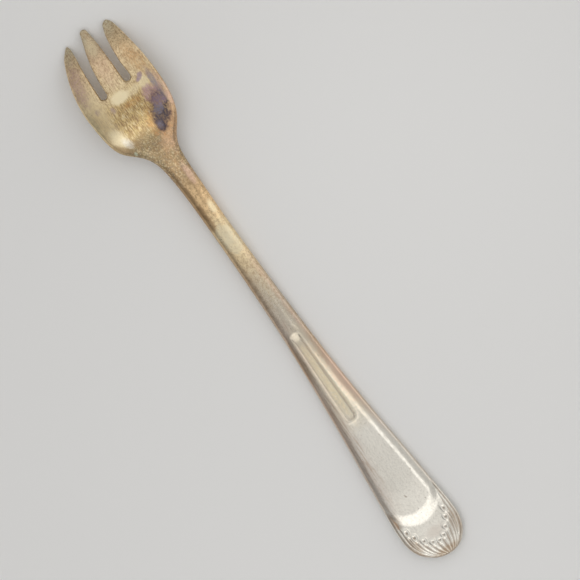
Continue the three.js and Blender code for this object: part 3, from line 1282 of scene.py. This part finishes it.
@dataclass(frozen=True)
class Scratches:
    """Fine dark and bright scratches along bowl and tines, and dark and bright specks on the neck."""

    bowl_from: Band = (119, 125)
    bowl_sway: float = 6
    bowl_to: Band = (133, 128)
    head_from: Band = (108, 120)
    dark_band: Band = (0.5, 0.62)
    dark_on_bowl: float = 0.5
    dark_on_head: float = 0.45
    bright_band: Band = (0.46, 0.34)
    bright_on_bowl: float = 0.3
    bright_on_head: float = 0.3
    neck_zone: Zone = (104, 111, 117, 125)
    grime_band: Band = (0.48, 0.6)
    grime_share: float = 0.55
    straw_band: Band = (0.5, 0.38)
    straw_share: float = 0.5

    def lay(self, tree: Shader, colour: Sock) -> Sock:
        """Lays the scratches and specks over a colour.

        Args:
            tree: The material's tree.
            colour: Colour below.

        Returns:
            The colour.
        """
        bowl = (tree.x + tree.warp.sway(self.bowl_sway)).step(*self.bowl_from) * tree.x.step(*self.bowl_to)
        head = tree.x.step(*self.head_from)
        dark = bowl * self.dark_on_bowl + head * self.dark_on_head
        colour = tree.mix(dark * tree.hair.step(*self.dark_band), colour, Tint.UMBER)
        bright = bowl * self.bright_on_bowl + head * self.bright_on_head
        colour = tree.mix(bright * tree.hair.step(*self.bright_band), colour, Tint.CREAM)
        neck = tree.zone(*self.neck_zone)
        colour = tree.mix(neck * tree.grain.step(*self.grime_band) * self.grime_share, colour, Tint.GRIME_AND_SHADE)
        return tree.mix(neck * tree.speck.step(*self.straw_band) * self.straw_share, colour, Tint.STRAW)


@dataclass(frozen=True)
class WornPlateAndPaintedLight:
    """Finish of the whole fork: silver that thins out along the stem, over tarnished yellow metal, with some
    painted highlights and painted shade.
    """

    fade: Band = (84, 64)
    cloud_wander: float = 14
    grain_wander: float = 6
    rim_wear: float = 20
    silver_rough: float = 0.24
    metal_rough: float = 0.30
    rough_sway: float = 0.16
    tint_sway: float = 6
    grime_share: Band = (0.6, 0.6)
    pit_scale: float = 0.75
    pit_reach: Band = (0.16, 0.07)
    pit_some: Band = (0.5, 0.62)
    pit_share: float = 0.6
    pit_depth: float = 0.012
    grain_height: float = 0.006
    streak_height: float = 0.004
    hair_height: float = 0.004
    # Place along the fork and tint of the clean metal there
    stops: tuple[tuple[float, Tint], ...] = (
        (0, Tint.SILVER), (34, Tint.SILVER), (43, Tint.WARM_SILVER), (51, Tint.WARM_SILVER), (57, Tint.GILT),
        (66, Tint.DULL_GILT), (71, Tint.DULL_GILT), (76, Tint.PALE_GOLD), (80, Tint.SAND), (86, Tint.STRAW),
        (94, Tint.STRAW), (98, Tint.BRASS), (104, Tint.BRASS), (108, Tint.BRONZE), (114, Tint.OLIVE),
        (119, Tint.OLIVE), (124, Tint.OCHRE), (130, Tint.OCHRE), (134, Tint.STRAW), (139, Tint.BUFF),
        (144, Tint.BUFF), (148, Tint.PEWTER),
    )
    # Later patches lie over earlier ones
    patches: tuple[Patch, ...] = (
        # Neck, heel and bowl, with painted light on the bowl's left side and a painted highlight and painted
        # shade on the left heel
        # Painted light: the bowl's left side is made paler in straw, standing in for light
        Patch(130, 7.6, 8, 2.6, Tint.STRAW, 0.6, 0, 0.5, 0.6),
        Patch(118.2, -3.8, 4.0, 2.2, Tint.COPPER, 0.65, -25, 0.6, 0.4, 0.4),
        Patch(122.6, -8.2, 4.6, 1.3, Tint.COPPER, 0.7, -24, 0.5, 0.4, 0.3),
        # Painted highlight on the left heel: a cream core and a silver lobe below it
        Patch(124.0, 6.5, 2.4, 1.6, Tint.CREAM, 1.0, 20, 0.4, 0.5, 0.2),
        Patch(121.9, 5.4, 1.5, 0.9, Tint.SILVER, 0.6, 25, 0.4, 0.5, 0.4),
        # Painted shade right of the heel highlight, and along the heel's left edge below it
        Patch(120.3, 3.5, 1.3, 0.9, Tint.UMBER, 0.5, 0, 0.5, 0.6, 0.3),
        Patch(121.0, 7.1, 2.6, 0.7, Tint.UMBER, 0.6, 37, 0.5, 0.5, 0.3),
        Patch(115.5, -0.2, 4.5, 1.9, Tint.UMBER, 0.4, 0, 0.9, 0.6, 0.6),
        Patch(116.8, 3.0, 2.2, 0.8, Tint.STRAW, 0.2, 35, 0.6, 0.6, 0.3),
        Patch(118.8, 5.45, 0.5, 0.4, Tint.LICHEN, 0.75, 0, 0.6, 0.4),
        Patch(129.2, -1.2, 0.8, 2.4, Tint.RUST, 0.45, 0, 0.7, 0.5, 0.7),
        # Pale rubbed places behind the slots
        Patch(131.8, 0.5, 1.5, 2.2, Tint.CREAM, 1.0, 0, 0.5, 0.3),
        Patch(131.5, -2.9, 1.0, 2.2, Tint.CREAM, 0.6, 0, 0.6, 0.4, 0.3),
        Patch(131.6, -6.3, 1.5, 1.3, Tint.CREAM, 0.65),
        # Dark stain and what lies round it
        Patch(133.2, -6.0, 1.2, 0.6, Tint.VIOLET, 0.85, -50, 0.8, 0.3, 0.3),
        Patch(129.6, -8.2, 4.6, 0.75, Tint.SLATE, 0.8, 0, 0.6, 0.35, 0.4),
        Patch(128.4, -6.3, 2.4, 2.0, Tint.MAUVE, 0.9, -10, 0.6, 0.3, 0.4),
        Patch(122.9, -4.5, 4.6, 2.8, Tint.RUST, 0.5, -24, 0.7, 0.4, 0.6),
        Patch(124.7, -6.1, 3.9, 2.3, Tint.INDIGO, 0.92, -24, 0.6, 0.45, 0.4),
        Patch(122.6, -5.0, 2.4, 1.9, Tint.INDIGO, 0.8, -20, 0.7, 0.4, 0.35),
        Patch(121.0, -3.8, 1.7, 1.2, Tint.INDIGO, 0.95, -10, 0.6, 0.35, 0.25),
        Patch(126.2, -6.6, 1.3, 1.6, Tint.VIOLET, 0.6, 0, 0.8, 0.4, 0.5),
        Patch(124.4, -5.4, 1.1, 1.3, Tint.SLATE, 0.5, 0, 0.9, 0.4, 0.6),
        Patch(121.2, -3.6, 0.9, 0.7, Tint.SLATE, 0.4, -20, 0.9, 0.5, 0.6),
        Patch(127.5, -9.3, 5.0, 0.8, Tint.ROSE, 0.7, 0, 0.5, 0.4, 0.4),
        # Small stains on the left
        Patch(131.9, 7.1, 0.7, 0.8, Tint.VIOLET, 0.45, 0, 1.1, 0.6, 0.5),
        Patch(130.1, 3.6, 0.8, 0.6, Tint.VIOLET, 0.5, 30, 1.1, 0.6, 0.5),
        Patch(129, 9.5, 3.5, 0.8, Tint.VERDIGRIS, 0.22, 0, 0.6, 0.5, 0.4),
        # Tines
        Patch(139.5, 7.6, 5.0, 1.6, Tint.MAUVE, 0.55, -11, 0.8, 0.5, 0.7),
        Patch(137, -7.6, 4.5, 1.4, Tint.RUST, 0.4, 11, 0.8, 0.5, 0.7),
        Patch(141, 0, 6, 1.8, Tint.ROSE, 0.3, 0, 0.8, 0.5, 0.5),
        Patch(145.0, 0.0, 2.0, 1.2, Tint.CREAM, 0.6, 0, 0.5, 0.5, 0.3),
        Patch(148.8, 0.0, 1.4, 1.2, Tint.UMBER, 0.3, 0, 0.4, 0.5),
        # Stem
        Patch(98.6, 1.2, 1.9, 1.2, Tint.UMBER, 0.9, 0, 0.9, 0.4, 0.3),
        Patch(102.5, 1.55, 4.6, 1.1, Tint.UMBER, 0.7, 0, 0.9, 0.5, 0.4),
        Patch(106.5, -1.4, 3.6, 1.2, Tint.UMBER, 0.4, 0, 0.9, 0.5, 0.6),
        Patch(100.4, -1.0, 1.2, 1.0, Tint.UMBER, 0.3, 0, 0.8, 0.4, 0.5),
        Patch(95.4, 1.2, 2.2, 1.0, Tint.UMBER, 0.75, 0, 0.9, 0.4, 0.3),
        Patch(91.3, -0.3, 2.5, 1.9, Tint.BONE, 0.75, 0, 0.8, 0.2, 0.2),
        Patch(88.4, -0.7, 2.6, 1.8, Tint.BONE, 0.7, 0, 0.8, 0.2, 0.2),
        Patch(108.0, -1.9, 2.6, 0.8, Tint.ROSE, 0.6, 0, 0.6, 0.5, 0.3),
        # Painted highlight on the stem's right side
        Patch(98.6, -1.7, 1.6, 0.7, Tint.CREAM, 0.8, 0, 0.6, 0.5, 0.2),
        # Panel and the sides beside it
        Patch(49.7, -3.4, 7, 1.3, Tint.ROSE, 0.6, 0, 0.6, 0.6),
        Patch(50.5, 0.25, 10.5, 0.8, Tint.CREAM, 0.5, 0, 0.3, 0.5, 0.3),
        # Painted shade that dims the lamp's highlight on the panel's ramp at the stem end
        Patch(61.8, 0.15, 1.9, 1.4, Tint.DULL_GILT, 0.7, 0, 0.2, 0.5),
        Patch(57, 2.6, 5.0, 0.8, Tint.UMBER, 0.25, 0, 0.5, 0.6),
        Patch(57, 3.0, 5.5, 0.8, Tint.UMBER, 0.4, 0, 0.6, 0.6, 0.3),
        Patch(58, -3.0, 4.5, 0.8, Tint.UMBER, 0.3, 0, 0.6, 0.6, 0.3),
        # Field and border
        Patch(16.9, 0.5, 0.45, 0.16, Tint.GRIME_AND_SHADE, 0.6, 30, 0.2, 0.4),
        Patch(12.4, 6.4, 1.0, 0.4, Tint.RUST, 0.65),
        Patch(14.2, 6.4, 1.7, 0.2, Tint.RUST, 0.4),
        # Painted shade in the hollow of the sunk band above the middle beads
        Patch(6.2, -0.6, 1.1, 2.4, Tint.WARM_GREY, 0.45, 0, 0.7, 0.6, 0.3),
        Patch(1.0, -0.4, 1.0, 3.8, Tint.UMBER, 0.85, 0, 0.5, 0.6, 0.2),
        Patch(5.6, 5.7, 3.2, 1.3, Tint.UMBER, 0.6, 0, 0.5, 0.6, 0.3),
        Patch(5.6, -5.9, 3.2, 1.3, Tint.UMBER, 0.55, 0, 0.5, 0.6, 0.3),
        # Painted shade at the left end of the bevel's bright crescent
        Patch(13.0, 6.0, 2.0, 0.9, Tint.GRIME_AND_SHADE, 0.6, 0, 0.4, 0.6),
    )

    def plated(self, tree: Shader) -> Sock:
        """How much silver is left: 1 on the handle, 0 on the bowl, less at the rim, and a wandering edge."""
        wander = tree.cloud.sway(self.cloud_wander) + tree.grain.sway(self.grain_wander)
        return (tree.x + wander + tree.rim * self.rim_wear).step(*self.fade)

    def pits(self, tree: Shader) -> Sock:
        """Small round pits: near the points of those Voronoi cells whose own grey is high.

        Args:
            tree: The material's tree.

        Returns:
            Shares from 0 outside to 1 in a pit.
        """
        cells = {"Vector": tree.place, "Scale": self.pit_scale}
        near = tree.node("ShaderNodeTexVoronoi", {}, cells, "Distance")
        colour = tree.node("ShaderNodeTexVoronoi", {}, cells, "Color")
        grey = tree.node("ShaderNodeRGBToBW", {}, {"Color": colour})
        return near.step(*self.pit_reach) * grey.step(*self.pit_some)

    def material(self, name: str, length: float) -> bpy.types.Material:
        """Puts metal, tarnish, scratches, stains, grime, painted highlights, painted shade and pits
        together.

        Args:
            name: Name of the material.
            length: Length of the fork in millimetres.

        Returns:
            The material.
        """
        tree = Shader(name, length)
        plated = self.plated(tree)
        along = (tree.x + tree.cloud.sway(self.tint_sway)) / length
        colour = tree.ramp(along, [(at / length, tint) for at, tint in self.stops])
        for layer in (SilverTarnishAndShade(), SidesTarnishAndShade(), Mottling()):
            colour = layer.lay(tree, colour, plated)
        colour = Scratches().lay(tree, colour)
        for patch in self.patches:
            colour = tree.mix(patch.mask(tree) * tree.back, colour, patch.tint)
        # Rubbed crests go back to clean silver; grime darkens the grooves, and painted shade the beads'
        # middles
        colour = tree.mix((0 - tree.groove_and_shade).above(0), colour, Tint.SILVER)
        colour = tree.mix(tree.groove_and_shade.above(0) * tree.grain.lifted(*self.grime_share), colour, Tint.GRIME_AND_SHADE)
        pits = self.pits(tree) * plated
        colour = tree.mix(pits * self.pit_share, colour, Tint.GRIME_AND_SHADE)
        rough = plated.lifted(self.metal_rough, self.silver_rough - self.metal_rough)
        rough = rough + tree.grain.sway(self.rough_sway)
        height = tree.grain * self.grain_height + tree.streak * self.streak_height
        height = height + tree.hair * self.hair_height - pits * self.pit_depth
        normal = tree.node("ShaderNodeBump", {}, {"Distance": MM, "Height": height})
        inputs = {"Base Color": colour, "Metallic": 1.0, "Roughness": rough, "Normal": normal}
        shader = tree.node("ShaderNodeBsdfPrincipled", {}, inputs)
        tree.node("ShaderNodeOutputMaterial", {}, {"Surface": shader}, None)
        return tree.material


@dataclass(frozen=True)
class Lamp:
    """A soft lamp: its place, size and aim in metres, and how bright it looks."""

    name: str
    place: Triple
    size: Band
    radiance: float
    aim: Triple = (0.0, 0.0, 0.0)

    @classmethod
    def hung(cls, name: str, place: Triple, size: Band, radiance: float) -> "Lamp":
        """A lamp that shines straight down."""
        return cls(name, place, size, radiance, (*place[:2], 0.0))

    def build(self) -> bpy.types.Object:
        """Area lamp that faces its aim, first side along X; its power is radiance times area times pi.

        Returns:
            The lamp.
        """
        data = bpy.data.lights.new(self.name, "AREA")
        data.shape = "RECTANGLE"
        data.size, data.size_y = self.size
        data.energy = self.radiance * self.size[0] * self.size[1] * math.pi
        lamp = bpy.data.objects.new(self.name, data)
        out = (Vector(self.place) - Vector(self.aim)).normalized()
        side = Vector((0, 1, 0)).cross(out).normalized()
        turn = Matrix((side, out.cross(side), out)).transposed().to_4x4()
        lamp.matrix_world = Matrix.Translation(Vector(self.place)) @ turn
        lamp.visible_camera = False
        bpy.context.scene.collection.objects.link(lamp)
        return lamp


@dataclass
class Studio:
    """Pale floor, soft lamps, and the camera at the photograph's angle."""

    image: int = 580
    lens: float = 900
    sensor: float = 36
    clip_start: float = 0.01
    pixels_per_mm: float = 4.264
    roll: float = math.radians(10.2)
    heading: float = math.radians(0.265)
    along: Band = (-0.57963, -0.81488)
    middle_pixel: Band = (263.738, 289.597)
    middle: Triple = (0.66, 0.0, 1.067)
    floor_colour: Triple = (0.86, 0.85, 0.83)
    floor_rough: float = 0.7
    floor_size: float = 8.0
    floor_points: int = 9
    world: Triple = (0.3, 0.3, 0.3)
    lamps: tuple[Lamp, ...] = (
        Lamp.hung("broad_lamp", (0.35, -0.19, 1.3), (3.3, 2.14), 0.21),
        Lamp.hung("overhead_lamp", (0.35, -0.47, 1.3), (3.3, 1.58), 0.27),
        Lamp("front_lamp", (1.0, 0.2, 1.1), (2.0, 2.1), 0.25),
        Lamp.hung("key_lamp", (-0.44, 0.48, 1.2), (0.48, 1.16), 0.8),
        Lamp.hung("heel_key_lamp", (-0.48, 0.88, 1.2), (0.6, 0.42), 0.78),
        Lamp.hung("glow_lamp", (-0.0725, 0.022, 0.12), (0.025, 0.045), 0.25),
        Lamp("bead_lamp", (-0.15, 0.055, 0.12), (0.075, 0.09), 0.32, aim=(-0.067, 0.0, 0.0)),
        Lamp.hung("strip_lamp", (-0.048, -0.026, 0.2), (0.06, 0.057), 0.8),
        Lamp.hung("stem_lamp", (0.019, -0.05, 0.08), (0.05, 0.044), 0.5),
        Lamp("neck_lamp", (-0.72, 0.65, 0.6), (0.6, 0.6), 0.4),
        Lamp("side_lamp", (0.0, -1.38, 0.62), (2.4, 1.15), 0.68),
        Lamp("rim_lamp", (0.0, 3.2, 0.6), (5.0, 1.05), 0.55),
        Lamp("heel_lamp", (-1.07, -0.5, 0.86), (0.85, 0.85), 0.62),
    )

    def camera(self) -> bpy.types.Object:
        """Camera that looks down on the back, turned about the fork's long axis, the fork on the diagonal.

        Returns:
            The camera.
        """
        back = Vector((0, -math.sin(self.roll), math.cos(self.roll)))
        ahead, beside = Vector((1, 0, 0)), Vector((0, -math.cos(self.roll), -math.sin(self.roll)))
        c, s = math.cos(self.heading), math.sin(self.heading)
        u, v = c * ahead - s * beside, s * ahead + c * beside
        a, b = self.along
        right, down = a * u - b * v, b * u + a * v
        off = [(self.image / 2 - pixel) / self.pixels_per_mm * MM for pixel in self.middle_pixel]
        target = Vector(self.middle) * MM + right * off[0] + down * off[1]
        data = bpy.data.cameras.new("camera")
        data.lens, data.sensor_width, data.clip_start = self.lens, self.sensor, self.clip_start
        made = bpy.data.objects.new("camera", data)
        turn = Matrix((right, -down, back)).transposed().to_4x4()
        distance = self.image * self.lens / self.sensor / self.pixels_per_mm * MM
        made.matrix_world = Matrix.Translation(target + back * distance) @ turn
        bpy.context.scene.collection.objects.link(made)
        bpy.context.scene.camera = made
        return made

    def floor(self) -> bpy.types.Object:
        """Flat square grid under the fork, with a plain pale finish.

        Returns:
            The floor.
        """
        side = np.linspace(-self.floor_size / 2, self.floor_size / 2, self.floor_points)
        x, y = np.meshgrid(side, side, indexing="ij")
        flat = np.zeros_like(x)
        made = solid("floor", [Sheet(np.stack([x, y, flat], -1), flat, flat, np.ones_like(x))], False)
        material = bpy.data.materials.new("pale_floor")
        material.use_nodes = True
        shader = material.node_tree.nodes["Principled BSDF"]
        shader.inputs["Base Color"].default_value = (*self.floor_colour, 1.0)
        shader.inputs["Roughness"].default_value = self.floor_rough
        made.data.materials.append(material)
        return made

    def build(self) -> None:
        """Sets up the view, the world, the lamps, the floor and the camera."""
        scene = bpy.context.scene
        scene.view_settings.view_transform = "Standard"
        scene.world = bpy.data.worlds.new("studio")
        scene.world.use_nodes = True
        background = scene.world.node_tree.nodes["Background"]
        background.inputs["Color"].default_value = (*self.world, 1.0)
        for lamp in self.lamps:
            lamp.build()
        self.floor()
        self.camera()
        log.info("studio: %d lamps, floor and camera", len(self.lamps))


def main() -> None:
    """Builds the studio, the blank and the silver film."""
    logging.basicConfig(level=logging.INFO)
    Studio().build()
    blank = Blank()
    # The finish holds painted highlights and painted shade as well as wear
    worn = WornPlateAndPaintedLight().material("worn_plate_and_painted_light", blank.form.length)
    blank.dress(blank.build(), worn, "blank", "base_metal")
    film = SilverPlate()
    film.dress(film.build(), worn, "silver_plate", "silver")


if __name__ == "__main__":
    main()
